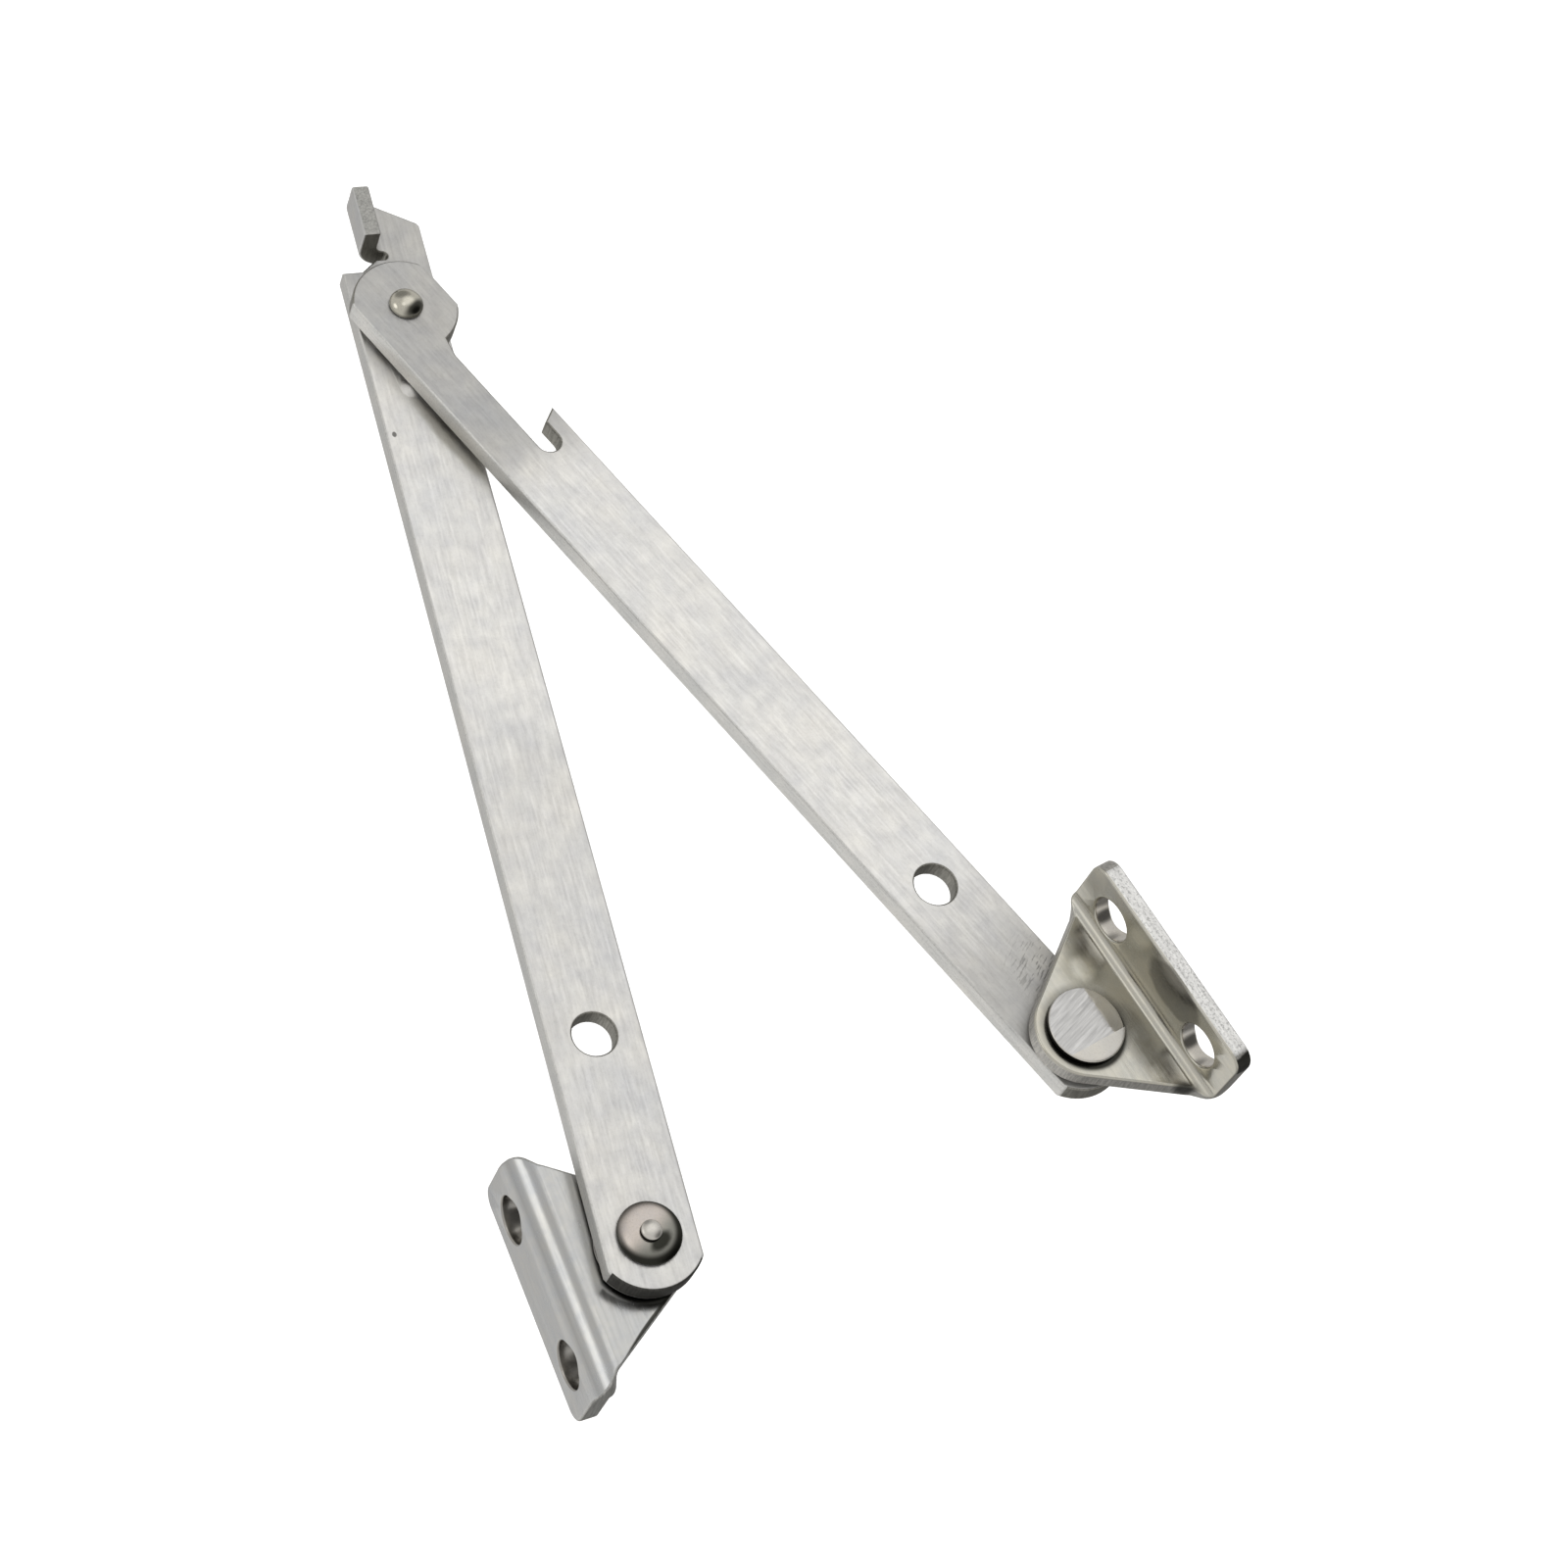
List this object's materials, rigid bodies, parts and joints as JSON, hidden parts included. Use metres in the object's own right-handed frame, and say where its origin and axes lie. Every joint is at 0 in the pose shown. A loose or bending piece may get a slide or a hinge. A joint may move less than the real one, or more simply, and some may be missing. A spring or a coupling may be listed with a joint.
{
  "type": "friction stay hinge",
  "caption": "Folding window stay: flat arms riveted at an elbow, an L-shaped screw-on bracket on each far end, and an upturned stop tab that locks the arms open.",
  "frame": {"origin": "on the mounting face of the frame bracket's flange, midway between its two screw holes", "axes": "-X out of that mounting face, into what the bracket is screwed to; +Y along the flange, towards the elbow; +Z along the pivots, towards the sash bracket"},
  "size_m": [0.0868, 0.1622, 0.0321],
  "materials": {
    "satin_arm_steel": "satin, brushed along the arm",
    "satin_bracket_steel": "satin",
    "polished_bracket_steel": "half polished",
    "rivet_steel": "bright, lightly brushed",
    "washer_steel": "dull",
    "cup_steel": "bright, warm"
  },
  "bodies": {
    "frame_bracket": {"frame_bracket": "satin_bracket_steel", "frame_rivet": "rivet_steel", "frame_washer": "washer_steel", "frame_cup_washer": "cup_steel"},
    "frame_arm": {"frame_arm": "satin_arm_steel", "elbow_rivet": "rivet_steel", "elbow_washer": "washer_steel"},
    "sash_arm": {"sash_arm": "satin_arm_steel"},
    "sash_bracket": {"sash_bracket": "polished_bracket_steel", "sash_rivet": "rivet_steel", "sash_washer": "washer_steel", "sash_cup_washer": "cup_steel"}
  },
  "joints": [
    {"name": "frame_pivot", "type": "hinge", "parent": "frame_bracket", "child": "frame_arm", "pos_m": [0.0118, 0, 0.0087], "axis": [0, 0, 1], "range_deg": [-173, 9]},
    {"name": "elbow_pivot", "type": "hinge", "parent": "frame_arm", "child": "sash_arm", "pos_m": [0.02752, 0.12804, 0.0124], "axis": [0, 0, 1], "range_deg": [-22.5, 153.4]},
    {"name": "sash_pivot", "type": "hinge", "parent": "sash_arm", "child": "sash_bracket", "pos_m": [0.07228, 0.00705, 0.0124], "axis": [0, 0, 1], "range_deg": [-172, 11]}
  ]
}
